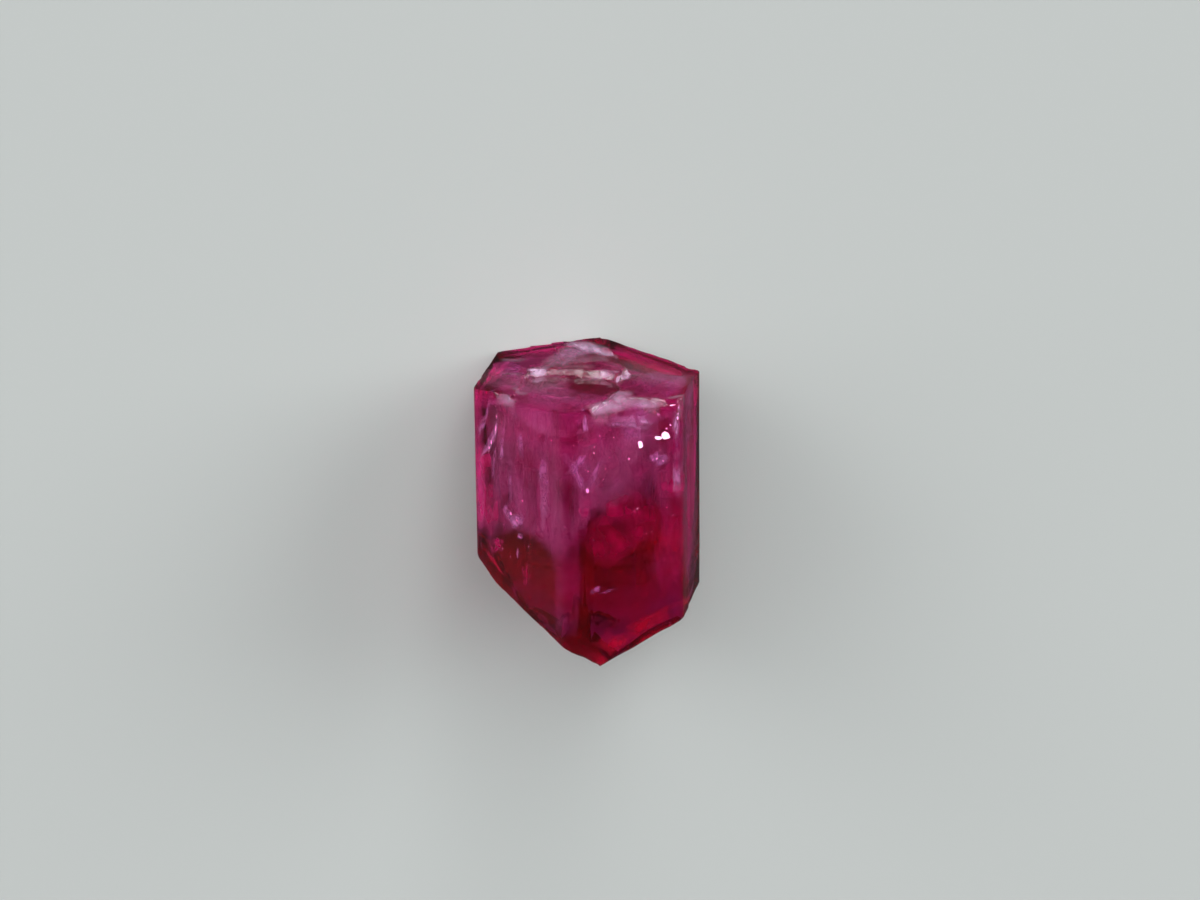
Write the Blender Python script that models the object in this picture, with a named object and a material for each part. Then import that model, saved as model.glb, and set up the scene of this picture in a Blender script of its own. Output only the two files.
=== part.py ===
"""A red beryl crystal: a stout six-sided prism with a flat top and a broken lower end.

The crystal is modelled in millimetres as it grew, with its long axis (the c axis of
beryl) up and the smooth level of its flat top at z = 0. Its broken end is a wedge that
can't stand, so laid_down() turns it onto the prism face at +Y, scales it to metres and
rests it on z = 0. The long axis then runs along +Y, with the flat top at the +Y end.

Angles run anticlockwise from +X, seen from the flat top. The six prism edges stand at
0, 60, 120, 180, 240 and 300 degrees, and the six prism faces lie between them.
"""

import math

import bmesh
import bpy
from mathutils import Matrix, Vector

NODE = "red_beryl_crystal"
METRES_PER_MM = 0.001

# Driving dimensions, in millimetres.
APOTHEM = 1.975            # from the axis to an average prism face
BLANK_RADIUS = 3.2         # the round blank that the prism faces are cut on
BLANK_SIDES = 24
BLANK_DEPTH = 7.0          # how far the blank reaches below the top, past the break
CAP_RISE = 0.145           # the highest growth terrace of the top, above its smooth level
EDGE_TO_FACE = 30          # degrees from a prism edge to the middle of either face beside it
ON_PLANE = 1e-6            # a point this close to a cutting plane counts as on it

# The six prism faces, by the angle they look towards: how far each grew past the average.
FACE_GROWTH = {30: 0.012, 90: 0.0, 150: -0.065, 210: 0.0, 270: 0.004, 330: 0.048}

# How far each prism edge is cut back, by the narrow face that grew across it.
EDGE_TRIMS = {0: 0.024, 60: 0.030, 120: 0.040, 180: 0.024, 240: 0.050, 300: 0.034}

# The flat breaks of the lower end. Each is a plane z = height + lean_x * x + lean_y * y,
# and the crystal lies above all of them.
BREAK_PLANES = {
    "steep_left": (-5.215, -0.856, 0.650),
    "keel_left": (-5.04, -0.715, 0.227),
    "keel_right": (-5.46, 0.425, -0.299),
    "back": (-5.17, 0.333, 0.933),
}

# The top's growth levels: outline (x, y) and the plane that the level lies on. What no
# outline covers stays at CAP_RISE, as the highest terrace along the top's rear edge.
TOP_LEVELS = {
    "left_shelf": (
        [(-1.04, 0.36), (-1.01, 0.72), (-0.86, 1.30), (-0.46, 1.75), (-0.30, 2.50), (-1.40, 2.60),
         (-2.80, 0.80), (-2.40, -0.90), (-1.60, -0.95), (-1.30, -0.30)],
        (0.112, 0.024, 0.0),
    ),
    "rear_step": (
        [(-1.30, 0.20), (-0.62, 0.20), (-0.50, 0.62), (-0.12, 0.95), (-0.05, 1.50), (0.10, 2.50),
         (-1.30, 2.50)],
        (0.118, 0.0, 0.0),
    ),
    "smooth_basin": (
        [(-1.10, 0.26), (-0.69, 0.33), (-0.19, 0.08), (0.22, -0.22), (0.44, -0.55), (0.33, -1.02),
         (-0.30, -1.70), (-0.50, -2.50), (-1.50, -2.50), (-2.10, -1.30), (-1.45, -0.45)],
        (0.0, 0.0, 0.0),
    ),
    "right_terrace": (
        [(0.70, -0.24), (1.10, -0.36), (2.40, -0.98), (2.40, -2.00), (0.80, -2.60), (-0.60, -2.50),
         (-0.37, -1.72), (0.31, -1.04), (0.56, -0.55)],
        (0.040, 0.0, 0.012),
    ),
    "rear_slope": (
        [(1.06, 2.20), (0.96, 1.07), (0.80, 0.30), (0.80, -0.24), (1.09, -0.36), (2.50, -1.02),
         (2.60, 0.60), (1.80, 2.10)],
        (0.150, -0.118, 0.045),
    ),
    "front_bevel": (
        [(-0.74, -2.30), (-0.50, -1.86), (0.10, -1.52), (0.62, -1.76), (1.30, -2.30)],
        (0.560, 0.010, 0.340),
    ),
}
LEVEL_REACH = 0.45         # how far a level's cutter stands up past the level
LEVEL_FLARE = 0.30         # how far its wall leans out over that reach

# Ledges of the broken end: the same kind of outline, with the break plane that the ledge
# follows and how far it lies inside it.
LEDGES = {
    "left_ledge": (
        "steep_left", 0.085,
        [(-2.60, -0.20), (-1.10, -0.60), (-0.95, 0.55), (-1.60, 1.90), (-2.80, 0.90)],
    ),
    "rear_ledge": (
        "back", 0.110,
        [(-0.45, 1.15), (0.30, 0.86), (1.20, 1.30), (0.90, 2.40), (-0.50, 2.40)],
    ),
    "right_ledge": (
        "keel_right", 0.050,
        [(1.15, -0.30), (1.60, -1.45), (2.60, -0.80), (2.40, 0.60), (1.35, 0.35)],
    ),
}
LEDGE_REACH = -2.2         # how far a ledge's cutter hangs down past the ledge
LEDGE_FLARE = 0.50         # how far its wall leans out over that reach

# Shell-shaped dishes of the broken end: the break plane and the place (x, y) that each lies
# at, its rim's radius, its depth, and the direction that its ripples spread from.
DISHES = {
    "tip_dish": ("keel_left", (-0.55, -1.30), 0.95, 0.130, 215),
    "left_dish": ("steep_left", (-1.70, -0.35), 0.80, 0.085, 100),
    "side_dish": ("steep_left", (-0.95, 1.20), 0.85, 0.120, 20),
    "keel_dish": ("keel_right", (0.92, -0.78), 0.95, 0.100, 265),
    "right_dish": ("keel_right", (1.80, 0.05), 0.55, 0.035, 320),
    "rear_dish": ("back", (0.80, 0.95), 1.00, 0.130, 75),
    "middle_dish": ("back", (-0.10, 0.25), 0.60, 0.075, 170),
}
DISH_MARGIN = 1.25         # half the side of a dish's cutter, in rim radii
DISH_CELL = 0.085          # spacing of the points that describe a dish
DISH_PROUD = 0.25          # how far a dish's cutter stands out of the break plane
RIPPLE_START = 1.25        # from a dish's middle to where its ripples start, in rim radii
RIPPLE_SPACING = 0.34      # between ripples half-way across a dish; they widen outwards
RIPPLE_HEIGHT = 0.006

# Chips on the prism and top edges: centre and radius.
CHIPS = [
    ((-2.00, -0.62, 0.18), 0.19),
    ((-1.80, -0.97, 0.18), 0.17),
    ((-1.42, -1.60, 0.15), 0.17),
    ((-2.28, 0.34, 0.16), 0.22),
    ((1.20, -2.08, 0.16), 0.22),
    ((2.26, 0.20, -0.02), 0.17),
    ((0.40, 2.10, 0.21), 0.20),
    ((-1.22, 2.02, -1.55), 0.16),
    ((1.26, 2.10, -2.20), 0.17),
    ((-2.38, 0.05, -2.25), 0.17),
    ((-1.20, -2.14, -3.60), 0.18),
    ((1.26, -2.14, -3.05), 0.17),
]
CHIP_FINENESS = 2          # how many times each ball's twenty faces are divided

# Growth laths of the prism faces: the face's angle, the lath's place across the face, its
# lower and upper end, its width, and how deep the strip beside it lies.
LATHS = [
    (210, -0.78, -2.55, 0.60, 0.20, 0.016),
    (210, -0.18, -3.30, -0.55, 0.14, 0.016),
    (210, 0.62, -1.90, 0.70, 0.34, 0.014),
    (270, -0.70, -3.60, -1.20, 0.16, 0.016),
    (270, 0.05, -1.35, 0.55, 0.22, 0.012),
    (270, 0.66, -4.30, -1.90, 0.15, 0.016),
    (330, -0.42, -2.20, 0.60, 0.22, 0.020),
    (330, 0.40, -3.70, -0.90, 0.26, 0.020),
    (30, -0.62, -3.10, 0.70, 0.26, 0.020),
    (30, 0.10, -2.60, -0.70, 0.12, 0.016),
    (30, 0.72, -1.40, 0.60, 0.20, 0.018),
    (150, -0.55, -2.30, 0.60, 0.24, 0.018),
    (150, 0.30, -2.50, -0.70, 0.16, 0.016),
]
LATH_TAPER = 3.5           # length of a lath's pointed end, in widths
LATH_PROUD = 0.02          # how far a lath's cutter stands out of the face
LATH_SLOPE = 16.0          # degrees that a strip's sides lean from the face


def prism_blank():
    """A round blank with its flat top at CAP_RISE, larger than the prism all round."""
    bm = bmesh.new()
    height = BLANK_DEPTH + CAP_RISE
    bmesh.ops.create_cone(
        bm, cap_ends=True, segments=BLANK_SIDES, radius1=BLANK_RADIUS, radius2=BLANK_RADIUS,
        depth=height,
    )
    bmesh.ops.translate(bm, vec=(0.0, 0.0, CAP_RISE - height / 2.0), verts=bm.verts[:])
    return bm


def face_outwards(bm):
    """Turns every face of a closed shape outwards."""
    bmesh.ops.recalc_face_normals(bm, faces=bm.faces[:])
    if bm.calc_volume(signed=True) < 0.0:
        bmesh.ops.reverse_faces(bm, faces=bm.faces[:])


def trim(bm, point, outward):
    """Cuts off what lies beyond a plane, and closes the cut with one flat face."""
    everything = bm.verts[:] + bm.edges[:] + bm.faces[:]
    cut = bmesh.ops.bisect_plane(
        bm, geom=everything, dist=ON_PLANE, plane_co=point, plane_no=outward, clear_outer=True
    )
    rim = [e for e in cut["geom_cut"] if isinstance(e, bmesh.types.BMEdge)]
    bmesh.ops.edgeloop_fill(bm, edges=rim)


def outward_from_axis(degrees):
    angle = math.radians(degrees)
    return Vector((math.cos(angle), math.sin(angle), 0.0))


def face_distance(degrees):
    """How far the prism face that looks towards an angle lies from the axis."""
    return APOTHEM + FACE_GROWTH[degrees % 360]


def cut_prism_faces(bm):
    for degrees in FACE_GROWTH:
        outward = outward_from_axis(degrees)
        trim(bm, outward * face_distance(degrees), outward)


def cut_prism_edges(bm):
    """The narrow faces across the six prism edges."""
    for degrees, depth in EDGE_TRIMS.items():
        outward = outward_from_axis(degrees)
        neighbours = face_distance(degrees - EDGE_TO_FACE) + face_distance(degrees + EDGE_TO_FACE)
        corner = neighbours / (2.0 * math.cos(math.radians(EDGE_TO_FACE)))
        trim(bm, outward * (corner - depth), outward)


def break_lower_end(bm):
    """The flat breaks, which leave a wedge at the lower end."""
    for height, lean_x, lean_y in BREAK_PLANES.values():
        trim(bm, (0.0, 0.0, height), (lean_x, lean_y, -1.0))


def outline_cutter(outline, plane, reach, flare):
    """A closed block with one end on a sloping plane and the other reach past it, wider by flare."""
    height, lean_x, lean_y = plane
    bm = bmesh.new()
    floor = [bm.verts.new((x, y, height + lean_x * x + lean_y * y)) for x, y in outline]
    grown = bmesh.ops.extrude_face_region(bm, geom=[bm.faces.new(floor)])
    far_end = [v for v in grown["geom"] if isinstance(v, bmesh.types.BMVert)]
    centre = sum((v.co for v in far_end), Vector()) / len(far_end)
    for vert in far_end:
        away = vert.co - centre
        away.z = 0.0
        vert.co += away.normalized() * flare + Vector((0.0, 0.0, reach))
    face_outwards(bm)
    return bm


def dish_cutter(plane, place, rim, depth, start):
    """A block whose inner side is a shallow dish with ripples, sunk into a break plane by depth."""
    height, lean_x, lean_y = plane
    x, y = place
    outward = Vector((lean_x, lean_y, -1.0)).normalized()
    aside = outward_from_axis(start)
    aside = (aside - aside.project(outward)).normalized()
    bm = bmesh.new()
    size = DISH_MARGIN * rim
    cells = round(2.0 * size / DISH_CELL)
    bmesh.ops.create_grid(bm, x_segments=cells, y_segments=cells, size=size)
    for vert in bm.verts:
        spread = vert.co.length / rim
        from_start = (vert.co - Vector((RIPPLE_START * rim, 0.0, 0.0))).length / rim
        turns = math.sqrt(from_start) * 2.0 * rim / RIPPLE_SPACING
        ripple = RIPPLE_HEIGHT * from_start * math.cos(math.tau * turns)
        vert.co.z = ripple - depth * (1.0 - spread ** 2)
    grown = bmesh.ops.extrude_face_region(bm, geom=bm.faces[:])
    for vert in grown["geom"]:
        if isinstance(vert, bmesh.types.BMVert):
            vert.co.z = DISH_PROUD
    face_outwards(bm)
    axes = Matrix((aside, outward.cross(aside), outward)).transposed().to_4x4()
    surface = Vector((x, y, height + lean_x * x + lean_y * y))
    bmesh.ops.transform(bm, matrix=Matrix.Translation(surface) @ axes, verts=bm.verts[:])
    return bm


def chip_cutter():
    """Small balls along the edges, each of which leaves one chip."""
    bm = bmesh.new()
    for centre, radius in CHIPS:
        ball = bmesh.ops.create_icosphere(bm, subdivisions=CHIP_FINENESS, radius=radius)
        bmesh.ops.translate(bm, vec=centre, verts=ball["verts"])
    return bm


def face_frame(degrees):
    """Turns (across, out, up), measured from a prism face's middle line, to the crystal's axes."""
    turn = Matrix.Rotation(math.radians(degrees - 90.0), 4, "Z")
    return turn @ Matrix.Translation((0.0, face_distance(degrees), 0.0))


def lath_outline(across, low, high, half, taper):
    """A long six-cornered outline with pointed ends, as points (across, up) of a prism face."""
    return [
        (across, low), (across + half, low + taper), (across + half, high - taper),
        (across, high), (across - half, high - taper), (across - half, low + taper),
    ]


def lath_cutter():
    """Shallow strips with pointed ends and sloping sides, sunk between the growth laths."""
    bm = bmesh.new()
    for degrees, across, low, high, width, depth in LATHS:
        half = width / 2.0
        wider = (depth + LATH_PROUD) / math.tan(math.radians(LATH_SLOPE))
        longer = wider * LATH_TAPER * width / half
        inner = lath_outline(across, low, high, half, LATH_TAPER * width)
        outer = lath_outline(
            across, low - longer, high + longer, half + wider, LATH_TAPER * width + longer
        )
        floor = [bm.verts.new((x, -depth, z)) for x, z in inner]
        mouth = [bm.verts.new((x, LATH_PROUD, z)) for x, z in outer]
        bm.faces.new(floor)
        bm.faces.new(mouth)
        for side in range(len(floor)):
            after = (side + 1) % len(floor)
            bm.faces.new((floor[side], floor[after], mouth[after], mouth[side]))
        bmesh.ops.transform(bm, matrix=face_frame(degrees), verts=floor + mouth)
    face_outwards(bm)
    return bm


def laid_down(bm, middle):
    """Turns a shape from the growth position, in millimetres, to where the crystal lies, in metres."""
    middle_x, middle_z = middle
    place = Matrix.Translation(Vector((-middle_x, -middle_z, face_distance(90))) * METRES_PER_MM)
    turn = Matrix.Rotation(math.radians(-90.0), 4, "X")
    bmesh.ops.transform(bm, matrix=place @ turn @ Matrix.Scale(METRES_PER_MM, 4), verts=bm.verts[:])


def add_object(name, bm):
    mesh = bpy.data.meshes.new(name)
    bm.to_mesh(mesh)
    bm.free()
    obj = bpy.data.objects.new(name, mesh)
    bpy.context.scene.collection.objects.link(obj)
    return obj


def cut_with(crystal, name, bm, middle):
    """Takes a cutter's shape out of the crystal with a live Boolean."""
    laid_down(bm, middle)
    cutter = add_object(name, bm)
    cutter.hide_render = True
    cutter.display_type = "WIRE"
    cut = crystal.modifiers.new(name, "BOOLEAN")
    cut.operation = "DIFFERENCE"
    cut.solver = "EXACT"
    cut.object = cutter


def beryl():
    """Raspberry-red beryl, glassy on its faces."""
    material = bpy.data.materials.new("red_beryl")
    material.use_nodes = True
    shader = material.node_tree.nodes["Principled BSDF"]
    shader.inputs["Base Color"].default_value = (0.42, 0.01, 0.10, 1.0)
    shader.inputs["Roughness"].default_value = 0.12
    shader.inputs["Metallic"].default_value = 0.0
    shader.inputs["IOR"].default_value = 1.57
    return material


def main():
    for obj in list(bpy.data.objects):
        bpy.data.objects.remove(obj, do_unlink=True)
    bm = prism_blank()
    cut_prism_faces(bm)
    cut_prism_edges(bm)
    break_lower_end(bm)
    sides = [v.co.x for v in bm.verts]
    heights = [v.co.z for v in bm.verts]
    middle = ((min(sides) + max(sides)) / 2.0, (min(heights) + max(heights)) / 2.0)
    laid_down(bm, middle)
    crystal = add_object(NODE, bm)
    crystal.data.materials.append(beryl())
    for name, (outline, plane) in TOP_LEVELS.items():
        level = outline_cutter(outline, plane, LEVEL_REACH, LEVEL_FLARE)
        cut_with(crystal, "cut_" + name, level, middle)
    for name, (plane_name, step, outline) in LEDGES.items():
        height, lean_x, lean_y = BREAK_PLANES[plane_name]
        ledge = outline_cutter(outline, (height + step, lean_x, lean_y), LEDGE_REACH, LEDGE_FLARE)
        cut_with(crystal, "cut_" + name, ledge, middle)
    for name, (plane_name, place, rim, depth, start) in DISHES.items():
        dish = dish_cutter(BREAK_PLANES[plane_name], place, rim, depth, start)
        cut_with(crystal, "cut_" + name, dish, middle)
    cut_with(crystal, "cut_chips", chip_cutter(), middle)
    cut_with(crystal, "cut_laths", lath_cutter(), middle)


main()
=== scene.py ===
# %% [markdown]
# # A red beryl crystal
#
# Red beryl grows as stubby six-sided prisms, a few millimetres long, in the cavities of a
# volcanic rock. This one is a single piece of clear raspberry-red mineral: flat prism
# faces, a top built of low terraces that are frosted in places, a broken lower end, and a
# haze of healed cracks inside its upper half.
#
# The frame gives the solid as a plain mesh at real size. This lesson gives it the fine
# relief, the finish and the inside that make it look like the mineral.

import math
import random

import bmesh
import bpy
from mathutils import Matrix, Vector, noise
from mathutils.bvhtree import BVHTree


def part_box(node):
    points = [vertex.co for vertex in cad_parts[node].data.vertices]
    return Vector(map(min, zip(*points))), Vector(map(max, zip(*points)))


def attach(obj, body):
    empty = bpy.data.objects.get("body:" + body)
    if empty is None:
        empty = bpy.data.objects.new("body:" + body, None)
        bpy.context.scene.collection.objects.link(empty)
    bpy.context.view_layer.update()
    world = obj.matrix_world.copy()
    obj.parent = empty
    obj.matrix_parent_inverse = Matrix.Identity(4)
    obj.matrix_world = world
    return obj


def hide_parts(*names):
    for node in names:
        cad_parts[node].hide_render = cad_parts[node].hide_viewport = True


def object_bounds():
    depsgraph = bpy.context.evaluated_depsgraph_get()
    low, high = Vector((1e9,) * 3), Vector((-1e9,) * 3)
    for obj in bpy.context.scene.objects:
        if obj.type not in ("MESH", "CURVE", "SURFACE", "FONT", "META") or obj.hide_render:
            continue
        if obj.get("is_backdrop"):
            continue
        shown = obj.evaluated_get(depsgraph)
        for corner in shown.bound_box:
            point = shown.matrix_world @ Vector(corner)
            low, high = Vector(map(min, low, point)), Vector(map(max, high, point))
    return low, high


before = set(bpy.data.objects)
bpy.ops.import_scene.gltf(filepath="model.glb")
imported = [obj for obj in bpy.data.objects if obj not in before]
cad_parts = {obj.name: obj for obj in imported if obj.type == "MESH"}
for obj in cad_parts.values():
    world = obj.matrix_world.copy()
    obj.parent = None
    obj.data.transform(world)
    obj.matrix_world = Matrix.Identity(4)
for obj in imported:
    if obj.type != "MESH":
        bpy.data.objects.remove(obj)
cad_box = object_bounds()
NODE = "red_beryl_crystal"
MM = 0.001
low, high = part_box(NODE)
print("the crystal is", [round(side / MM, 3) for side in high - low], "mm")

# %% [markdown]
# ## Helpers
#
# Colours are written as the hex codes that a paint program shows, and `linear` turns them
# to the linear light values that shaders take. `add_node` adds a node with its settings,
# its values and its links, so that a material reads as a short list. The nodes could also be
# added one line at a time, but then it is hard to see which value belongs to which.

# %% Colours, nodes and objects
def linear(code):
    """A hex colour as linear red, green, blue and alpha."""
    shown = [int(code[i:i + 2], 16) / 255 for i in (1, 3, 5)]
    return [c / 12.92 if c <= 0.04045 else ((c + 0.055) / 1.055) ** 2.4 for c in shown] + [1.0]


def add_node(tree, kind, settings={}, values={}, links={}):
    """Adds a node, sets its options and its sockets' values, and links its sockets."""
    node = tree.nodes.new(kind)
    for name, value in settings.items():
        setattr(node, name, value)
    for name, value in values.items():
        node.inputs[name].default_value = value
    for name, source in links.items():
        tree.links.new(source, node.inputs[name])
    return node


def empty_tree(owner):
    """The node tree of a new material or world, with nothing in it yet."""
    owner.use_nodes = True
    owner.node_tree.nodes.clear()
    return owner.node_tree


def add_piece(name, bm):
    """An object at the origin that holds the bmesh's shape."""
    mesh = bpy.data.meshes.new(name)
    bm.to_mesh(mesh)
    bm.free()
    piece = bpy.data.objects.new(name, mesh)
    bpy.context.scene.collection.objects.link(piece)
    return piece


def clamp(value):
    """The value, held between 0 and 1."""
    return max(0.0, min(1.0, value))


print("a middle grey is", [round(share, 3) for share in linear("#808080")[:3]], "as light")

# %% [markdown]
# ## Camera
#
# The crystal can't stand on its broken end, so it lies on one prism face with its top
# towards +Y. The camera looks down on it and a little past the top, so that two wide prism
# faces and the top show. It could be aimed with a Track To constraint. Here its three axes
# are written down, because the way to the eye is needed again to place the cracks inside. A
# long lens keeps the prism's edges nearly parallel.

# %% Camera
TO_CAMERA = Vector((-0.3253, 0.3090, 0.8937)).normalized()   # from the crystal to the eye
AXIS = Vector((0, 1, 0))           # the crystal's long axis
AXIS_HEIGHT = 1.975 * MM           # of the long axis above the floor
FRAME_WIDTH = 22.8 * MM            # what the camera takes in at the crystal
ACROSS_RISE = math.radians(20)     # how far its sideways direction rises from the floor
ROLL = math.radians(-0.6)          # how far it is turned about its own line of sight
AIM_ACROSS = 0.233 * MM            # it looks a little right of the axis
AIM_BELOW_TOP = 1.604 * MM         # and this far down the crystal from its top
across = Vector((math.cos(ACROSS_RISE), 0, math.sin(ACROSS_RISE)))
upwards = TO_CAMERA.cross(across)
aim = Vector((0, high.y - AIM_BELOW_TOP, AXIS_HEIGHT)) + across * AIM_ACROSS

lens = bpy.data.cameras.new("camera")
lens.lens = 100
lens.sensor_width = 36
lens.clip_start = 1 * MM
camera = bpy.data.objects.new("camera", lens)
bpy.context.scene.collection.objects.link(camera)
distance = FRAME_WIDTH * lens.lens / lens.sensor_width
axes = Matrix((across, upwards, TO_CAMERA)).transposed().to_4x4()
turned = axes @ Matrix.Rotation(ROLL, 4, "Z")
camera.matrix_world = Matrix.Translation(aim + TO_CAMERA * distance) @ turned
bpy.context.scene.camera = camera
print("the camera is", round(distance / MM, 1), "mm away")

# %% [markdown]
# ## Floor and light
#
# The floor is matt pale card. It lies a hair under the crystal, so that the two flat faces
# don't fight, and it stays out of mirror reflections, which keeps the sheen on the faces
# dark as it is on a stone held in the air.
#
# The light is a dim room with round softboxes: a large window past the top of the crystal,
# and one on either side. Light that comes in low through the side faces is what makes the
# inside glow. A deflector hangs in front of the window's middle, so that the low steps of
# the top mirror its rim in glints and not in one flat bar. A faintly lit wall on the left
# gives the left prism face its thin sheen. Area lamps could do this too, but softboxes that
# are painted on the world's background have soft edges, and a clear stone shows them
# cleanly. Behind the floor's edge the eye meets a plain backdrop in the floor's own grey.

# %% Floor
FLOOR_GAP = 0.02 * MM
FLOOR_SIZE = 1.0                   # half of its side, in metres
bm = bmesh.new()
bmesh.ops.create_grid(bm, x_segments=1, y_segments=1, size=FLOOR_SIZE)
bmesh.ops.translate(bm, vec=(0, 0, -FLOOR_GAP), verts=bm.verts[:])
floor = add_piece("floor", bm)
floor.visible_glossy = False
floor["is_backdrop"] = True

# Matt pale card: uncoated paper has no sheen, so the eye sees only a soft shadow on it.
card = bpy.data.materials.new("matt_pale_card")
tree = empty_tree(card)
matt = add_node(tree, "ShaderNodeBsdfPrincipled", values={
    "Base Color": linear("#b9bcb9"), "Roughness": 0.9, "Specular IOR Level": 0.1})
add_node(tree, "ShaderNodeOutputMaterial", links={"Surface": matt.outputs[0]})
floor.data.materials.append(card)
print("the floor lies", FLOOR_GAP / MM, "mm under the crystal")

# %% Light
SOFTBOXES = {  # where each lies as seen from the crystal, its half angle, its brightness
    "window": ((-0.35, 0.80, 0.50), 38, 5.4),
    "deflector": ((-0.35, 0.80, 0.50), 20, -4.4),
    "right": ((0.85, 0.38, 0.38), 24, 4.6),
    "left": ((-0.90, 0.35, 0.28), 22, 3.3),
    "wall": ((-0.94, -0.31, -0.16), 34, 0.10),
}
SOFTBOX_EDGE = 6                   # degrees over which its rim fades, to either side
ROOM = 0.042                       # brightness of the room between the softboxes
SHEETS_CROSSED = 48                # see-through surfaces that one ray may pass
studio = bpy.data.worlds.new("studio")
bpy.context.scene.world = studio
tree = empty_tree(studio)
direction = add_node(tree, "ShaderNodeTexCoord").outputs["Generated"]
total = add_node(tree, "ShaderNodeValue").outputs[0]
total.default_value = ROOM
for place, half_angle, brightness in SOFTBOXES.values():
    facing = add_node(tree, "ShaderNodeVectorMath", {"operation": "DOT_PRODUCT"},
                      {1: Vector(place).normalized()}, {0: direction})
    edge = add_node(tree, "ShaderNodeMapRange", {"interpolation_type": "SMOOTHSTEP"}, {
        "From Min": math.cos(math.radians(half_angle + SOFTBOX_EDGE)),
        "From Max": math.cos(math.radians(half_angle - SOFTBOX_EDGE)),
        "To Max": brightness}, {"Value": facing.outputs["Value"]})
    total = add_node(tree, "ShaderNodeMath", {"operation": "ADD"}, {},
                     {0: total, 1: edge.outputs["Result"]}).outputs[0]
glow = add_node(tree, "ShaderNodeBackground", values={"Color": linear("#f4f6f8")},
                links={"Strength": total})
backdrop = add_node(tree, "ShaderNodeBackground", values={"Color": linear("#c8cbc9")})
seen = add_node(tree, "ShaderNodeLightPath").outputs["Is Camera Ray"]
mixed = add_node(tree, "ShaderNodeMixShader",
                 links={0: seen, 1: glow.outputs[0], 2: backdrop.outputs[0]})
add_node(tree, "ShaderNodeOutputWorld", links={"Surface": mixed.outputs[0]})
bpy.context.scene.view_settings.view_transform = "Standard"
bpy.context.scene.cycles.transparent_max_bounces = SHEETS_CROSSED
print("lights:", ", ".join(SOFTBOXES))

# %% [markdown]
# ## The crystal's surface
#
# The solid's own flat faces are too perfect for a mineral. Its prism faces really carry
# fine striations along the axis, its top has low growth steps, and its broken end is
# rippled. A bump pattern in the material could shade these, but in a clear stone the relief
# also bends what is seen through it. So a copy of the solid is cut finer, and its points are
# moved by a few micrometres, always inwards on average, so that its size stays.

# %% A merged copy of the solid
FLAT = math.radians(0.3)           # faces that turn less than this are one flat face
MERGE = 1e-5 * MM                  # points closer than this are one point
bm = bmesh.new()
bm.from_mesh(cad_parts[NODE].data)
bmesh.ops.remove_doubles(bm, verts=bm.verts[:], dist=MERGE)
bmesh.ops.dissolve_limit(bm, angle_limit=FLAT, verts=bm.verts[:], edges=bm.edges[:])
print("the copy has", len(bm.faces), "flat faces")

# %% Cut the faces finer
PRISM_ANGLES = {"E": 30, "F": 90, "A": 150, "B": 210, "C": 270, "D": 330}
LEANING = math.cos(math.radians(20))   # a face leans less than this from its direction
TOPWARD = 0.4                          # the top, its bevels and the risers of its terraces
BROKEN = -0.15                         # the broken end looks away from the top
STRIP = 0.045 * MM                     # spacing of the cuts along a prism face
ROW = 0.12 * MM                        # and of those across it
TOP_CELL = 0.045 * MM
BREAK_CELL = 0.08 * MM


def outward_of(degrees):
    """The direction a prism face looks in; angles run anticlockwise, seen from the top."""
    angle = math.radians(degrees)
    return Vector((math.cos(angle), 0, -math.sin(angle)))


def cut_grid(bm, chosen, along, spacing):
    """Cuts the chosen faces by parallel planes, spacing apart and square to along."""
    faces = [f for f in bm.faces if chosen(f)]
    verts = {v for f in faces for v in f.verts}
    places = [v.co.dot(along) for v in verts]
    geom = list(verts) + list({e for f in faces for e in f.edges}) + faces
    count = int((max(places) - min(places)) / spacing)
    for i in range(1, count + 1):
        at = along * (min(places) + i * (max(places) - min(places)) / (count + 1))
        cut = bmesh.ops.bisect_plane(bm, geom=geom, dist=MERGE, plane_co=at, plane_no=along)
        geom = cut["geom"]


for degrees in PRISM_ANGLES.values():
    outward = outward_of(degrees)
    cut_grid(bm, lambda f: f.normal.dot(outward) > LEANING, AXIS.cross(outward), STRIP)
    cut_grid(bm, lambda f: f.normal.dot(outward) > LEANING, AXIS, ROW)
for along in (Vector((1, 0, 0)), Vector((0, 0, 1))):
    cut_grid(bm, lambda f: f.normal.dot(AXIS) > TOPWARD, along, TOP_CELL)
    cut_grid(bm, lambda f: f.normal.dot(AXIS) < BROKEN, along, BREAK_CELL)
print("after the cuts it has", len(bm.faces), "faces")

# %% Striations, terraces and ripples
STRIATIONS = [  # width of a wave, its length, its height, in mm; here the length is along the axis
    (0.50, 3.0, 0.003), (0.16, 1.6, 0.003), (0.09, 1.0, 0.0025)]
TERRACES = [(0.45, 0.45, 0.010), (0.16, 0.16, 0.006), (0.09, 0.09, 0.003)]
RIPPLES = [(0.50, 0.50, 0.016), (0.22, 0.12, 0.007)]
RISERS = [(0.20, 0.20, 0.030), (0.08, 0.08, 0.026)]    # the slopes between two terraces
RIPPLE_SLANT = 0.4                 # how far the ripples run askew
SUNK_SHARE = 0.45                  # of its full height, how far a relief is lowered
SHARP_EDGE = math.radians(16)      # an edge that turns more than this stays crisp


def relief(first, second, layers, seed):
    """A smooth uneven height at a place of a face, all in millimetres.

    Each layer reads its own slice of the noise, so that no two layers have one pattern.
    """
    return sum(
        height * noise.noise(Vector((first / wide, second / long, seed + 31 * height)))
        for wide, long, height in layers)


def sunk(layers):
    """How far a relief is lowered, so that it hardly rises past the face."""
    return SUNK_SHARE * sum(height for wide, long, height in layers)


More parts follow.
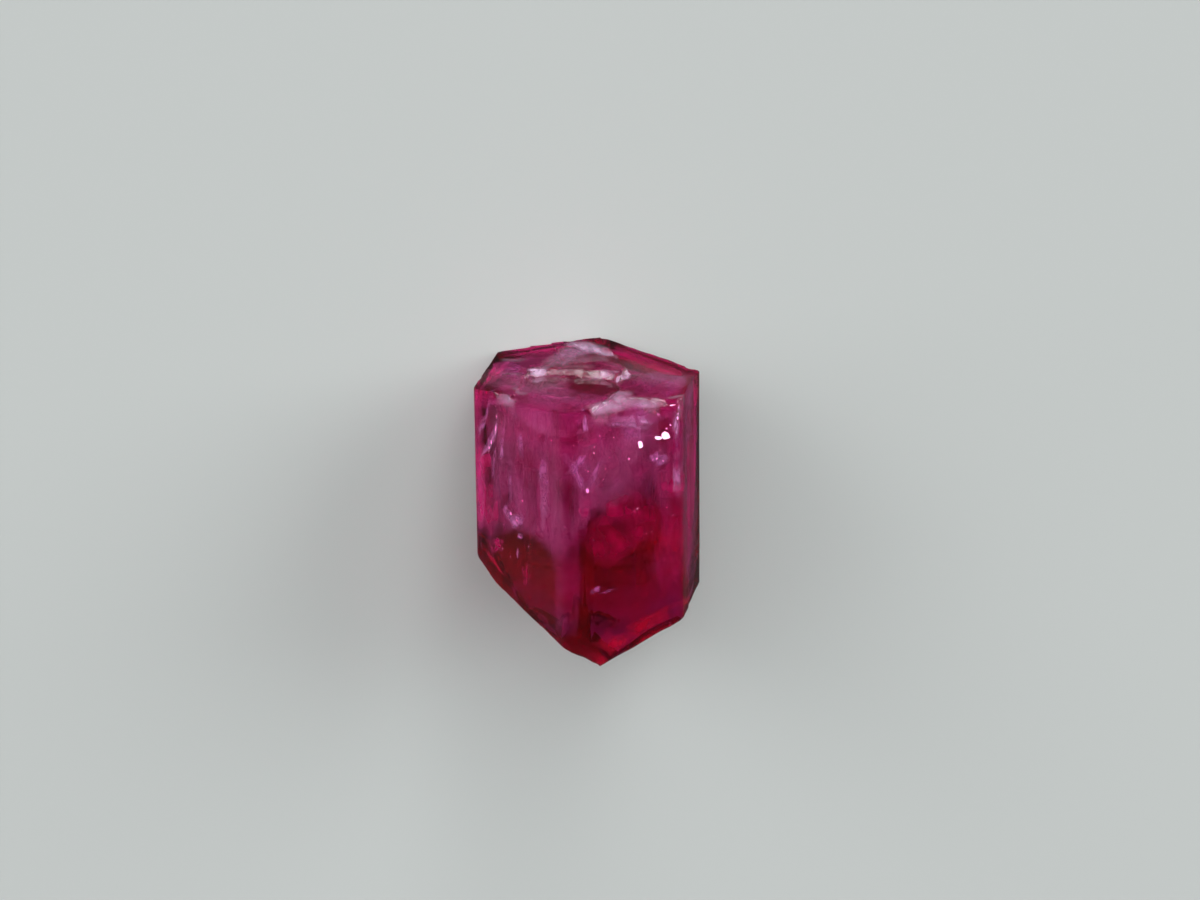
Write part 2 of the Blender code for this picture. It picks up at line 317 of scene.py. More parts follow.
moves = {}
for vert in bm.verts:
    x, y, z = vert.co / MM
    normals = [f.normal for f in vert.link_faces]
    move = Vector()
    for degrees in PRISM_ANGLES.values():
        outward = outward_of(degrees)
        if any(n.dot(outward) > LEANING for n in normals):
            height = relief(AXIS.cross(outward).dot(vert.co) / MM, y, STRIATIONS, degrees)
            move += outward * (height - sunk(STRIATIONS))
    if any(n.dot(AXIS) > TOPWARD for n in normals):
        move += AXIS * (relief(x, z, TERRACES, seed=5) - sunk(TERRACES))
        if all(TOPWARD < n.dot(AXIS) < LEANING for n in normals):
            move += vert.normal * (relief(x, z, RISERS, seed=3) - sunk(RISERS))
    if any(n.dot(AXIS) < BROKEN for n in normals):
        move -= AXIS * (relief(x + RIPPLE_SLANT * z, z, RIPPLES, seed=9) - sunk(RIPPLES))
    moves[vert] = move * MM
for vert, move in moves.items():
    vert.co += move
bmesh.ops.triangulate(bm, faces=bm.faces[:])
print(len(bm.faces), "triangles,", round(bm.calc_volume(signed=True) / MM ** 3, 1), "mm3")

# %% The crystal's piece
crystal = add_piece("red_beryl", bm)
crystal.data.shade_smooth()
crystal.data.set_sharp_from_angle(angle=SHARP_EDGE)
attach(crystal, "root")
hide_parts(NODE)
print(crystal.name, "replaces", NODE, "with", len(crystal.data.vertices), "points")

# %% [markdown]
# ## Frost
#
# Where growth stopped unevenly, the top is etched and looks white, and the edges are worn
# white at a few chips. The white could be painted on an image, but a picture is tied to one
# layout of the mesh. So each streak below is a line between two points with a soft width,
# placed in millimetres. The value of the strongest one goes to the points of the mesh, with
# a speckle in it.

# %% Where the crystal is frosted
TOP = high.y / MM
FROST = [  # start (x, y, z), end (x, y, z), half width, how white; y is taken from the top
    ((-0.94, 0.08, 1.54), (-0.78, 0.08, 1.58), 0.08, 1.00),
    ((-0.76, 0.04, 1.50), (-0.30, 0.02, 1.34), 0.12, 0.16),
    ((-0.40, 0.00, 1.60), (0.06, 0.00, 1.80), 0.12, 0.08),
    ((-0.14, 0.10, 2.12), (0.30, 0.10, 2.16), 0.09, 0.16),
    ((0.28, 0.10, 2.14), (0.44, 0.08, 2.30), 0.08, 0.50),
    ((0.42, 0.10, 2.50), (0.56, 0.10, 2.42), 0.05, 0.80),
    ((0.62, 0.10, 2.40), (0.74, 0.10, 2.20), 0.06, 0.50),
    ((0.44, 0.00, 0.34), (0.62, 0.00, 0.80), 0.20, 0.50),
    ((0.62, 0.00, 0.80), (0.74, 0.00, 1.14), 0.15, 0.42),
    ((0.26, 0.00, 0.70), (-0.30, 0.00, 1.25), 0.26, 0.20),
    ((-0.20, 0.00, 1.30), (0.50, 0.00, 1.36), 0.18, 0.10),
    ((-0.46, 0.26, 3.80), (0.06, 0.20, 3.66), 0.16, 0.34),
    ((0.02, 0.18, 3.60), (0.22, 0.14, 3.28), 0.15, 0.30),
    ((0.16, 0.20, 3.64), (0.58, 0.24, 3.84), 0.13, 0.28),
    ((0.58, 0.22, 3.88), (0.96, 0.20, 3.84), 0.05, 0.19),
    ((0.96, 0.20, 3.86), (1.24, 0.20, 3.80), 0.06, 0.60),
    ((-1.98, 0.14, 2.64), (-1.84, 0.14, 2.86), 0.09, 0.32),
    ((-1.56, 0.10, 2.40), (-1.46, 0.10, 2.52), 0.08, 0.20),
    ((-1.16, 0.08, 0.56), (-0.88, 0.08, 0.82), 0.06, 0.12),
    ((-1.44, 0.08, 1.44), (-1.28, 0.08, 1.56), 0.06, 0.12),
    ((1.14, 0.22, 3.95), (1.12, 0.50, 3.95), 0.04, 0.45),
    ((1.00, 0.04, 2.00), (1.60, 0.08, 2.80), 0.50, 0.045),
    ((-1.70, 0.08, 1.50), (-1.10, 0.04, 2.10), 0.45, 0.030),
]
FROST_GRAIN = 0.12                 # size of the speckle, in mm
GRAIN_ALONG_Z = 0.35               # the speckle is drawn out along z by one over this
FINE_GRAIN = 2.7                   # how much finer the second speckle is
STREAK_REACH = 1.5                 # where a streak ends, in half widths; full up to one less
LEVEL = 0.85                       # parts of the top that face up it more than this stay polished


def frost_at(point):
    """How white the surface is at a point, from 0 to 1."""
    here = point / MM
    here.y = TOP - here.y
    grain = Vector((here.x, here.y, here.z * GRAIN_ALONG_Z)) / FROST_GRAIN
    speckle = 0.90 + 0.7 * noise.noise(grain) + 0.4 * noise.noise(grain * FINE_GRAIN)
    most = 0.0
    for start, end, half_width, white in FROST:
        start, end = Vector(start), Vector(end)
        run = end - start
        share = clamp((here - start).dot(run) / run.length_squared)
        gap = (here - start - run * share).length
        most = max(most, white * clamp(STREAK_REACH - gap / half_width))
    return clamp(most * speckle)


def add_values(piece, name, values):
    """Keeps one number for each point of a piece, for its material to read."""
    attribute = piece.data.attributes.new(name, "FLOAT", "POINT")
    attribute.data.foreach_set("value", values)


broken = [0.0] * len(crystal.data.vertices)
for face in crystal.data.polygons:
    if face.normal.dot(AXIS) < BROKEN or TOPWARD < face.normal.dot(AXIS) < LEVEL:
        for index in face.vertices:
            broken[index] = 1.0
frost = [frost_at(v.co) for v in crystal.data.vertices]
add_values(crystal, "frost", frost)
add_values(crystal, "broken", broken)
print("points with some frost:", sum(value > 0 for value in frost), "of", len(frost))

# %% [markdown]
# ### Clear red beryl
#
# Beryl is a hard glassy mineral, and manganese makes it red. A tinted surface could give
# that red too, but the same one everywhere. The real one comes from the light's way through
# the stone, so thin corners are pink and deep ones are dark crimson. So the colour is in the
# volume, which takes out green most and blue less. The surface is clear and as polished as
# growth left it, a little duller on the broken end and on the risers of the terraces, and
# whitish lilac where it is frosted.

# %% Clear red beryl
# Red beryl, grown and not cut: the eye sees sharp dim reflections, with the red behind them.
IOR = 1.57
GROWN_FACE = 0.08                  # roughness of the prism faces and the terraces
BROKEN_FACE = 0.26                 # roughness of the broken end and the risers
FROST_ADDS_UP_TO = 0.32            # roughness under full frost
THROUGH_FROST = 0.30               # how much light full frost still lets through
TINT_FROM = 0.15                   # frost past this has its full lilac tint
beryl = bpy.data.materials.new("clear_red_beryl")
tree = empty_tree(beryl)
frosted = add_node(tree, "ShaderNodeAttribute", {"attribute_name": "frost"}).outputs["Fac"]
torn = add_node(tree, "ShaderNodeAttribute", {"attribute_name": "broken"}).outputs["Fac"]
bare = add_node(tree, "ShaderNodeMapRange", values={
    "To Min": GROWN_FACE, "To Max": BROKEN_FACE}, links={"Value": torn})
rough = add_node(tree, "ShaderNodeMapRange", values={"To Max": FROST_ADDS_UP_TO},
                 links={"Value": frosted, "To Min": bare.outputs[0]})
clear = add_node(tree, "ShaderNodeMapRange", values={"To Min": 1.0, "To Max": THROUGH_FROST},
                 links={"Value": frosted})
tinted = add_node(tree, "ShaderNodeMapRange", values={"From Max": TINT_FROM},
                  links={"Value": frosted})
tint = add_node(tree, "ShaderNodeMix", {"data_type": "RGBA"},
                links={"Factor": tinted.outputs[0]})
tint.inputs["A"].default_value = linear("#ffffff")
tint.inputs["B"].default_value = linear("#eac6e8")
shader = add_node(tree, "ShaderNodeBsdfPrincipled", values={"IOR": IOR}, links={
    "Base Color": tint.outputs["Result"], "Roughness": rough.outputs[0],
    "Transmission Weight": clear.outputs[0]})
absorb = add_node(tree, "ShaderNodeVolumeAbsorption", values={
    "Color": linear("#f000ca"), "Density": 2140.0})
add_node(tree, "ShaderNodeOutputMaterial",
         links={"Surface": shader.outputs[0], "Volume": absorb.outputs[0]})
crystal.data.materials.append(beryl)
print(beryl.name, "bends light as an IOR of", IOR)

# %% [markdown]
# ## Inside: the haze
#
# Fluid-filled healed cracks make the upper half milky. A volume that scatters light could
# give that, but it renders slowly, and it has no cracks to see. So they are made as what
# they are: thin curved sheets at a few depths under each prism face, and a few across the
# axis. A value called fade takes each sheet out towards its rim, near the surface, in a few
# clear pockets, and under the height where the clear lower half starts, which differs from
# face to face.

# %% Where the inside is clear
MIST_MARGIN = 0.03                 # nothing inside comes closer to the surface than this, in mm
CENTRE = Vector((0, 0, AXIS_HEIGHT))
APOTHEM = 1.975 * MM               # from the axis to an average prism face
HAZE_FLOOR = [  # angle round the axis, height where the clear half starts, in mm
    (90, 0.3), (150, -0.3), (178, -1.45), (190, -1.25), (200, -0.85), (226, -0.90), (236, -0.65),
    (243, -0.05), (250, 0.25), (262, 0.42), (285, 0.46), (296, 0.40), (312, -1.4), (345, -1.8),
    (372, 0.2), (450, 0.3),
]
CLEAR_POCKETS = [  # middle and radius of the clear pockets in the haze, in mm
    ((0.05, 2.35, 2.35), 0.55),
    ((1.60, 2.20, 1.10), 0.80),
    ((-1.30, -0.92, 2.60), 0.92),
]
POCKET_BLUR = 0.22                 # over which a pocket's rim fades, in mm
HAZE_BLUR = 0.55                   # over which the haze ends above the clear half, in mm
TATTERS = [(2.1, 0.26), (5, 0.16)]     # of its lower edge: waves in a mm, height in mm
corners = [v.co / MM for v in crystal.data.vertices]
surface = BVHTree.FromPolygons(corners, [tuple(p.vertices) for p in crystal.data.polygons])


def depth_inside(point):
    """How far a point lies under the crystal's surface, in mm; 0 outside."""
    way_out = surface.ray_cast(point / MM, AXIS)
    if way_out[0] is None or way_out[1].dot(AXIS) < 0:
        return 0.0
    return surface.find_nearest(point / MM)[3]


def haze_floor(point):
    """The height under which the crystal is clear, on the side where a point lies."""
    away = point - CENTRE
    degrees = math.degrees(math.atan2(-away.z, away.x)) % 360
    if degrees < HAZE_FLOOR[0][0]:
        degrees += 360
    for (first, low_height), (second, high_height) in zip(HAZE_FLOOR, HAZE_FLOOR[1:]):
        if degrees <= second:
            share = (degrees - first) / (second - first)
            return low_height + (high_height - low_height) * share


def haze_share(point):
    """How much of the haze there is at a point, as a share from 0 to 1."""
    place = point / MM
    tattered = sum(height * noise.noise(place * waves) for waves, height in TATTERS)
    above_floor = (place.y - haze_floor(point) + tattered) / HAZE_BLUR
    gaps = [(place - Vector(middle)).length - radius for middle, radius in CLEAR_POCKETS]
    return clamp(above_floor) * clamp(0.5 + min(gaps) / POCKET_BLUR)


print("the axis lies", round(depth_inside(CENTRE), 2), "mm under the surface")

# %% One thin sheet
HAZE_RISE = 0.20                   # how deep below the margin haze is at full strength, in mm
CRACK_RISE = 0.07                  # the same for a crisp crack
SHEET_CELLS = 30                   # points along each side of a sheet
HAZE_CELLS = 48                    # along the long side of a haze sheet, for its ragged end


def left_at(u, v, seed, haze):
    """How much is left of a sheet at u and v, which run from -1 to 1; a crack ends unevenly."""
    if haze:
        return clamp(1.6 - 1.6 * (abs(u) ** 3 + abs(v) ** 3))
    uneven = noise.noise(Vector((u * 2.2, v * 2.2, seed * 1.9)))
    return clamp(0.85 - u * u - v * v - 0.6 * uneven) ** 1.4


def sheet(middle, facing, half_width, half_length, bend, seed, strength, stretch, haze):
    """A thin curved sheet in the crystal: facing is its normal, stretch its long way."""
    bm = bmesh.new()
    rows = HAZE_CELLS if haze else SHEET_CELLS
    bmesh.ops.create_grid(bm, x_segments=SHEET_CELLS, y_segments=rows, size=1.0)
    fade = bm.verts.layers.float.new("fade")
    facing = facing.normalized()
    stretch = (stretch - stretch.project(facing)).normalized()
    aside = stretch.cross(facing)
    rise = HAZE_RISE if haze else CRACK_RISE
    outside = []
    for vert in bm.verts:
        u, v = vert.co.x, vert.co.y
        broad = noise.noise(Vector((u * 1.3 + seed, v * 1.3, seed * 3.7)))
        fine = noise.noise(Vector((u * 3, v * 3, seed)))
        vert.co = middle + aside * (u * half_width) + stretch * (v * half_length)
        vert.co += facing * (bend * (broad + 0.4 * fine))
        depth = depth_inside(vert.co)
        vert[fade] = strength * left_at(u, v, seed, haze) * clamp((depth - MIST_MARGIN) / rise)
        if haze:
            vert[fade] *= haze_share(vert.co)
        if depth < MIST_MARGIN or vert[fade] == 0.0:
            outside.append(vert)
    bmesh.ops.delete(bm, geom=outside, context="VERTS")
    return bm


trial = sheet(CENTRE, Vector((0, 0, 1)), 1 * MM, 1 * MM, 0.1 * MM, 0, 1.0, AXIS, False)
print("a sheet in the middle of the crystal keeps", len(trial.verts), "points")
trial.free()

# %% [markdown]
# ### Milky films
#
# A healed crack is a layer of tiny drops, dense in some places and thin in others. It could
# be a layer of rough glass, but that would bend the light once more. So a film is a matt
# surface that lets light through: noise makes its clouds, drawn out along the axis as the
# crystal grew, and its alpha is that noise times the sheet's fade. A Solidify modifier gives
# each sheet two skins, so that it is closed.

# %% Films
SHEET_THICKNESS = 0.004 * MM
CLOUD_ALONG_AXIS = 0.45            # the clouds are drawn out along the axis by one over this


def join(parts):
    """One bmesh of several, which are used up."""
    joined = bmesh.new()
    for part in parts:
        mesh = bpy.data.meshes.new("part")
        part.to_mesh(mesh)
        part.free()
        joined.from_mesh(mesh)
        bpy.data.meshes.remove(mesh)
    return joined


def add_film(name, parts, material):
    """A piece of thin sheets inside the crystal, thickened so that each is closed."""
    film = add_piece(name, join(parts))
    film.data.shade_smooth()
    thick = film.modifiers.new("thickness", "SOLIDIFY")
    thick.thickness = SHEET_THICKNESS
    thick.offset = 0
    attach(film, "root")
    film.data.materials.append(material)
    print(name, len(film.data.polygons), "faces")


def milky(name, colour, cloud, contrast, roughness):
    """A thin milky film with clouds of a size in mm, faded by the sheet's own value."""
    film = bpy.data.materials.new(name)
    tree = empty_tree(film)
    place = add_node(tree, "ShaderNodeTexCoord").outputs["Object"]
    drawn_out = add_node(tree, "ShaderNodeMapping", values={
        "Scale": (1 / MM, CLOUD_ALONG_AXIS / MM, 1 / MM)}, links={"Vector": place})
    clouds = add_node(tree, "ShaderNodeTexNoise", values={
        "Scale": 1 / cloud, "Detail": 7.0, "Roughness": 0.68, "Distortion": 0.5},
        links={"Vector": drawn_out.outputs[0]})
    dense = add_node(tree, "ShaderNodeMapRange", values={
        "From Min": contrast[0], "From Max": contrast[1]}, links={"Value": clouds.outputs["Fac"]})
    fade = add_node(tree, "ShaderNodeAttribute", {"attribute_name": "fade"})
    alpha = add_node(tree, "ShaderNodeMath", {"operation": "MULTIPLY"}, {},
                     {0: dense.outputs[0], 1: fade.outputs["Fac"]})
    shader = add_node(tree, "ShaderNodeBsdfPrincipled", values={
        "Base Color": linear(colour), "Roughness": roughness, "Specular IOR Level": 0.2},
        links={"Alpha": alpha.outputs[0]})
    add_node(tree, "ShaderNodeOutputMaterial", links={"Surface": shader.outputs[0]})
    return film


print("each film is", SHEET_THICKNESS / MM, "mm thick")

# %% The haze
HAZE_DEPTHS = [(0.22, 0.20), (0.42, 0.34), (0.80, 0.56), (1.22, 0.72)]   # depth in mm, strength
HAZE_TOP = 2.85                    # the ends of the sheets along the axis, in mm
HAZE_LOW = -2.0
FACE_WIDTH = 2.39                  # of a sheet at the prism face, in mm
NARROWING = 1.15                   # by which it is less wide for each mm deeper
HAZE_BEND = 0.16 * MM
ACROSS_SHEETS = [(2.2, 0.45), (1.7, 0.4), (1.1, 0.4)]    # height along the axis, strength
ACROSS_SIZE = 1.9 * MM             # half of the side of a sheet across the axis
ACROSS_BEND = 0.35 * MM

sheets = []
half_length = (HAZE_TOP - HAZE_LOW) / 2 * MM
for i, degrees in enumerate(PRISM_ANGLES.values()):
    outward = outward_of(degrees)
    for depth, strength in HAZE_DEPTHS:
        middle = CENTRE + outward * (APOTHEM - depth * MM) + AXIS * (HAZE_LOW + HAZE_TOP) / 2 * MM
        half_width = (FACE_WIDTH - NARROWING * depth) / 2 * MM
        sheets.append(sheet(middle, outward, half_width, half_length, HAZE_BEND,
                            i * 5.1 + depth * 11, strength, AXIS, True))
for height, strength in ACROSS_SHEETS:
    sheets.append(sheet(CENTRE + AXIS * height * MM, AXIS, ACROSS_SIZE, ACROSS_SIZE, ACROSS_BEND,
                        50 + height * 7, strength, Vector((1, 0, 0)), True))

# Fluid-filled healed crack: drops too small to see scatter light, so the eye meets a soft
# pink mist with brighter clouds in it, and no sheen.
HAZE_CLOUD = 0.385                 # size of a cloud, in mm
mist = milky("fluid_filled_healed_crack", "#f8bfdf", HAZE_CLOUD, (0.32, 0.68), 0.7)
add_film("healed_crack_veils", sheets, mist)

# %% [markdown]
# ## Inside: crisp cracks and painted glows
#
# A few single cracks stand out of the haze, as pale feathers near the surface. Deeper in,
# nothing can be made out singly, so broad matt sheets paint the light inside: a painted rosy
# glow in the upper half, and a painted crimson glow in the clear one. They could be placed by
# x, y and z, but a clear stone bends the line of sight, so a sheet doesn't show where it
# lies. So each is placed by the face that it shows through, the way a gem cutter maps a
# stone: so far across the face, so far along it, and so deep below it, on the line that the
# eye follows into the crystal.

# %% Where a crack or painted glow shows
def through(direction, outward):
    """The way on, in the crystal, of a straight line that comes in through a face."""
    direction = direction.normalized()
    straight = -direction.dot(outward)
    bent = math.sqrt(1 - (1 - straight ** 2) / IOR ** 2)
    return (direction / IOR + outward * (straight / IOR - bent)).normalized()


def face_axes(face):
    """A point of a face, and the directions out of it, across it and along it."""
    if face == "top":
        return Vector((0, high.y, 0)), AXIS, Vector((1, 0, 0)), Vector((0, 0, 1))
    outward = outward_of(PRISM_ANGLES[face])
    return CENTRE + outward * APOTHEM, outward, AXIS.cross(outward), AXIS


def seen_under(face, across_face, along, depth):
    """A point at a depth under a place of a face, in mm, and the way to the eye."""
    start, outward, aside, up = face_axes(face)
    inwards = through(-TO_CAMERA, outward)
    at = start + (aside * across_face + up * along) * MM
    return at + inwards * (depth * MM / -inwards.dot(outward)), -inwards


def crack_and_glow_sheets(cracks_and_glows, bend, first_seed):
    """The sheets of a list of feathers or painted glows, each turned half-way between its face and
    the eye.
    """
    sheets = []
    for i, crack in enumerate(cracks_and_glows):
        face, aside, along, depth, half_width, half_length, turn, strength = crack
        middle, to_eye = seen_under(face, aside, along, depth)
        _, outward, _, up = face_axes(face)
        stretch = Matrix.Rotation(math.radians(turn), 3, outward) @ up
        sheets.append(sheet(middle, to_eye + outward, half_width * MM, half_length * MM,
                            bend, first_seed + i * 3.3, strength, stretch, False))
    return sheets


into_c = through(-TO_CAMERA, outward_of(PRISM_ANGLES["C"]))
print("the eye's line turns by", round(math.degrees(into_c.angle(-TO_CAMERA)), 1), "degrees at C")

# %% Feathers
FEATHERS = [  # face, across, along, depth, half width, half length, turn, strength
    ("C", -0.76, 2.29, 0.25, 0.07, 0.24, 0, 1.2),
    ("C", -0.90, 1.55, 0.30, 0.09, 0.32, -38, 1.3),
    ("C", -0.92, 1.33, 0.32, 0.09, 0.46, 22, 1.0),
    ("C", -0.58, 1.30, 0.32, 0.08, 0.46, -28, 1.0),
    ("C", -0.74, 1.28, 0.40, 0.30, 0.40, 0, 0.5),
    ("C", 0.70, 1.44, 0.28, 0.24, 0.18, 0, 1.6),
    ("C", 0.20, 2.06, 0.30, 0.55, 0.36, 60, 0.7),
    ("C", 0.12, 2.22, 0.16, 0.16, 0.52, 84, 0.9),
    ("C", 1.02, 2.05, 0.12, 0.07, 0.32, 0, 1.2),
    ("C", 1.04, 1.10, 0.20, 0.10, 0.50, 0, 0.9),
    ("C", -0.25, 0.95, 0.35, 0.08, 0.40, -35, 0.6),
    ("B", -0.56, 1.92, 0.16, 0.05, 0.34, -10, 1.5),
    ("B", -0.66, 1.68, 0.18, 0.05, 0.36, -22, 1.5),
    ("B", -0.76, 1.62, 0.22, 0.07, 0.42, -28, 1.2),
    ("B", -0.88, 2.00, 0.20, 0.06, 0.60, -22, 1.0),
    ("B", -0.62, 1.30, 0.24, 0.05, 0.40, -8, 1.0),
    ("B", -0.40, 1.70, 0.25, 0.07, 0.60, -6, 0.9),
    ("B", 0.04, 1.75, 0.25, 0.07, 0.36, 4, 0.8),
    ("B", -0.22, 1.00, 0.25, 0.06, 0.55, 0, 0.8),
    ("B", 0.60, 1.10, 0.25, 0.16, 1.10, 0, 0.6),
    ("B", -0.10, 0.24, 0.22, 0.20, 0.20, 40, 1.6),
    ("B", -0.30, 0.32, 0.22, 0.10, 0.18, 20, 1.3),
    ("B", -0.02, -0.08, 0.20, 0.06, 0.08, 0, 1.3),
    ("B", -0.07, -0.42, 0.20, 0.03, 0.14, 0, 1.2),
    ("C", -0.58, -0.98, 0.30, 0.14, 0.07, 30, 1.0),
    ("C", -0.32, -1.02, 0.30, 0.20, 0.04, 10, 1.0),
    ("B", 0.98, -0.80, 0.50, 0.24, 1.20, 0, 0.12),
    ("D", -0.60, 1.30, 0.30, 0.30, 1.40, 0, 0.7),
    ("top", -1.45, 1.50, 0.50, 0.60, 0.90, 0, 0.7),
    ("top", 1.15, 2.95, 0.45, 0.60, 0.70, 0, 0.5),
    ("top", 0.05, 0.75, 0.50, 0.90, 0.50, 0, 0.7),
]
FEATHER_BEND = 0.04 * MM

# Feathery crack: its dimpled skin scatters light near the surface, where little colour is
# taken out, so the eye sees pale lilac wisps with a fine grain.
FEATHER_GRAIN = 0.111              # size of a dimple, in mm
feather = milky("feathery_crack_film", "#f3dcf6", FEATHER_GRAIN, (0.36, 0.62), 0.5)
add_film("feather_cracks", crack_and_glow_sheets(FEATHERS, FEATHER_BEND, first_seed=90), feather)

# %% Painted rosy glows
PAINTED_ROSY_GLOWS = [  # face, across, along, depth, half width, half length, turn, strength
    ("C", -0.30, 0.02, 1.00, 0.60, 0.75, 0, 0.80),
    ("C", -0.10, 0.56, 0.70, 0.60, 0.46, 0, 1.00),
    ("C", 0.30, 0.36, 0.85, 0.60, 0.55, 0, 0.75),
    ("C", 0.80, 0.36, 1.00, 0.46, 0.62, 0, 0.60),
    ("C", 0.92, 0.90, 0.50, 0.34, 0.32, 0, 0.90),
    ("C", -0.80, 0.62, 0.60, 0.18, 0.24, 0, 0.70),
    ("B", -0.90, 1.15, 0.35, 0.26, 0.50, 0, 1.2),
    ("B", -0.92, 0.40, 0.35, 0.24, 0.70, 0, 1.0),
    ("B", -0.70, 0.30, 0.40, 0.28, 0.60, 0, 0.9),
    ("B", -1.10, 1.00, 0.12, 0.26, 2.00, 0, 1.0),
    ("B", -0.58, -0.38, 0.35, 0.16, 0.18, -30, 0.9),
    ("B", 0.13, -0.80, 0.50, 0.10, 0.30, 0, 0.9),
    ("B", 0.98, -0.90, 0.50, 0.22, 1.30, 0, 0.14),
    ("top", 1.40, 1.65, 0.60, 0.55, 1.30, 28, 1.00),
    ("top", 1.15, 1.10, 0.90, 0.60, 0.90, 28, 1.00),
    ("top", -1.72, 1.25, 0.30, 0.34, 1.00, -34, 1.00),
    ("top", -0.20, 0.34, 0.28, 1.00, 0.30, 0, 0.90),
    ("D", 0.10, 0.40, 0.16, 1.90, 3.00, 0, 0.75),
    ("D", -0.20, 1.30, 0.45, 1.00, 1.40, 0, 0.70),
]
PAINTED_GLOW_BEND = 0.08 * MM

# Painted rosy glow: a deep matt pink sheet that paints light inside the stone, light that has
# lost its green, so the eye sees a broad rosy glow with no edge and no grain.
PAINTED_GLOW_CLOUD = 0.5                   # size of a cloud, in mm
rosy = milky("painted_rosy_glow_film", "#fd5cae", PAINTED_GLOW_CLOUD, (0.10, 0.60), 0.7)
add_film("painted_rosy_glows", crack_and_glow_sheets(PAINTED_ROSY_GLOWS, PAINTED_GLOW_BEND, first_seed=170), rosy)

# %% Painted crimson glows
PAINTED_CRIMSON_GLOWS = [  # face, across, along, depth, half width, half length, turn, strength
    ("C", 0.10, -0.60, 1.50, 1.30, 1.50, 0, 0.34),
    ("B", 0.10, -0.90, 1.50, 1.30, 1.60, 0, 0.45),
    ("C", 0.50, -1.84, 0.70, 0.80, 0.34, 24, 0.55),
    ("C", -0.30, -2.20, 0.60, 0.40, 0.40, 0, 0.75),
    ("C", 0.62, -0.05, 0.90, 0.60, 0.60, 0, 0.50),
    ("C", 1.00, -0.70, 0.60, 0.50, 1.20, 0, 0.16),
]

# Painted crimson glow and shade: in the clear half a matt red sheet hides the light from
# behind and paints light that has lost much of its blue too, so the crystal's darkest red
# looks lit up.
crimson = milky("painted_crimson_glow_film", "#ff4462", PAINTED_GLOW_CLOUD, (0.10, 0.60), 0.7)
add_film("painted_crimson_glows", crack_and_glow_sheets(PAINTED_CRIMSON_GLOWS, PAINTED_GLOW_BEND, first_seed=230), crimson)

# %% [markdown]
# ## Inside: sparkles
#
# Where a crack holds air, its face is a mirror. It could be left to chance which ones
# flash, but then hardly any would. So each of these small tablets is turned half-way between
# the eye and the window, both as they run inside the crystal, and then a little off it.

# %% Where the sparkles are
SPARKLES = [  # face, across, along, depth, half width, half length, tilt off the mirror angle
    ("C", 0.82, 1.88, 0.06, 0.115, 0.090, 0.00),
    ("C", 0.68, 1.86, 0.08, 0.090, 0.055, 0.02),
    ("C", 0.32, 1.77, 0.07, 0.070, 0.075, 0.00),
    ("C", 0.96, 2.46, 0.05, 0.080, 0.014, 0.03),
    ("C", 1.08, 2.40, 0.05, 0.016, 0.060, 0.04),
    ("C", 1.07, 2.28, 0.05, 0.012, 0.030, 0.06),
    ("C", 0.68, 2.31, 0.22, 0.040, 0.045, 0.10),
    ("C", 0.10, 1.52, 0.25, 0.028, 0.035, 0.07),
    ("C", 0.92, 2.08, 0.18, 0.018, 0.026, 0.05),
    ("C", 0.84, 2.02, 0.18, 0.018, 0.018, 0.07),
    ("C", -0.73, 1.01, 0.25, 0.034, 0.050, 0.05),
    ("C", 1.06, 2.20, 0.12, 0.014, 0.045, 0.04),
    ("C", 1.04, 1.94, 0.14, 0.030, 0.060, 0.08),
    ("C", 0.64, 1.46, 0.22, 0.030, 0.026, 0.09),
    ("C", 0.78, 1.40, 0.22, 0.022, 0.030, 0.09),
    ("B", -0.54, 2.17, 0.14, 0.010, 0.034, 0.04),
    ("B", -0.56, 1.92, 0.14, 0.014, 0.110, 0.03),
    ("B", -0.68, 1.64, 0.16, 0.016, 0.050, 0.07),
    ("B", -0.74, 1.52, 0.16, 0.022, 0.040, 0.08),
    ("B", -0.07, 0.22, 0.18, 0.036, 0.026, 0.06),
    ("B", -0.22, 0.32, 0.18, 0.018, 0.040, 0.08),
]
GLINTS = 90                        # specks scattered under the two wide faces
HAZE_ENDS = {"B": -0.8, "C": 0.0}  # they lie above this, in the haze
random_place = random.Random(4)
for i in range(GLINTS):
    face = random_place.choice("BC")
    along = random_place.uniform(HAZE_ENDS[face], 2.3)
    size = random_place.uniform(0.005, 0.013)
    SPARKLES.append((face, random_place.uniform(-1.05, 1.05), along,
                     random_place.uniform(0.05, 0.30), size, size * random_place.uniform(0.6, 2.0),
                     random_place.uniform(0.05, 0.40)))
print("sparkles:", len(SPARKLES))

# %% Sparkles
TABLET_SIDES = 9
TABLET_THICKNESS = 0.004 * MM
NEAREST_CORNER = 0.45              # of the way to the rim, how far in a corner may lie
SLANT = Vector((1.0, 0.73, 0.31))  # no two corners of a tablet are level in this direction
WINDOW_RIM = Vector((-0.05, 0.62, 0.78)).normalized()     # a bright place on the window


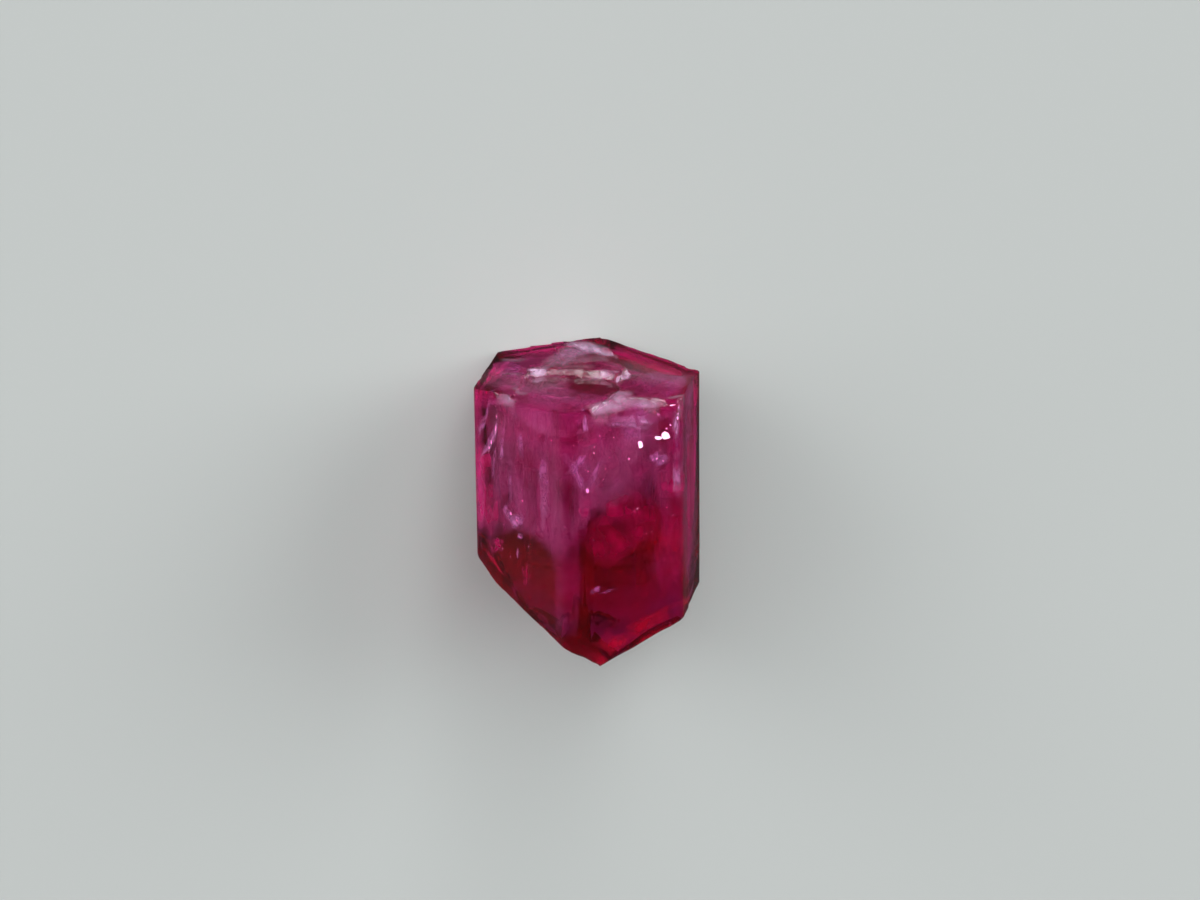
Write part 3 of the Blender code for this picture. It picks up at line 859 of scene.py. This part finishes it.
def tablet(middle, facing, half_width, half_length, seed):
    """A thin closed tablet with an uneven outline; the sorting makes each run the same."""
    shake = random.Random(seed)
    bm = bmesh.new()
    bmesh.ops.create_circle(bm, cap_ends=True, segments=TABLET_SIDES, radius=1.0)
    for vert in bm.verts:
        vert.co *= shake.uniform(NEAREST_CORNER, 1.0)
    grown = bmesh.ops.extrude_face_region(bm, geom=bm.faces[:])
    upper = {v for v in grown["geom"] if isinstance(v, bmesh.types.BMVert)}
    stretch = (AXIS - AXIS.project(facing)).normalized()
    aside = stretch.cross(facing)
    for vert in bm.verts:
        lift = TABLET_THICKNESS if vert in upper else 0.0
        flat = aside * (vert.co.x * half_width) + stretch * (vert.co.y * half_length)
        vert.co = middle + flat + facing * lift
    bmesh.ops.recalc_face_normals(bm, faces=bm.faces[:])
    bm.verts.sort(key=lambda vert: vert.co.dot(SLANT))
    bm.faces.sort(key=lambda face: face.calc_center_median().dot(SLANT))
    return bm


parts = []
for i, (face, aside, along, depth, half_width, half_length, tilt) in enumerate(SPARKLES):
    middle, to_eye = seen_under(face, aside, along, depth)
    to_light = -through(-WINDOW_RIM, outward_of(PRISM_ANGLES[face]))
    askew = Vector((math.sin(i * 2.4), math.sin(i * 1.7), math.cos(i * 2.4))) * tilt
    facing = ((to_eye + to_light).normalized() + askew).normalized()
    parts.append(tablet(middle, facing, half_width * MM, half_length * MM, i))
sparkles = add_piece("bright_crack_faces", join(parts))
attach(sparkles, "root")

# Air-filled crack: it throws back all light that meets it at a slant. That is as much as a
# metal does, so it is drawn as one, in the pink of the light there: the eye sees a flash.
mirror = bpy.data.materials.new("air_filled_crack")
tree = empty_tree(mirror)
shader = add_node(tree, "ShaderNodeBsdfPrincipled", values={
    "Base Color": linear("#f6d0ea"), "Metallic": 1.0, "Roughness": 0.25})
add_node(tree, "ShaderNodeOutputMaterial", links={"Surface": shader.outputs[0]})
sparkles.data.materials.append(mirror)
print(sparkles.name, len(sparkles.data.polygons), "faces")

# %% [markdown]
# ## Finish
#
# The finished piece is made to fill the solid's box, no more and no less. It could be judged
# by eye, but the two boxes are measured and printed, so that they can be compared.

# %% Finish
looks_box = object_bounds()
sizes = {"cad": [list(corner) for corner in cad_box],
         "looks": [list(corner) for corner in looks_box]}
for name, (low_corner, high_corner) in sizes.items():
    sides = zip(low_corner, high_corner)
    print(name, [round((end - start) / MM, 3) for start, end in sides], "mm")
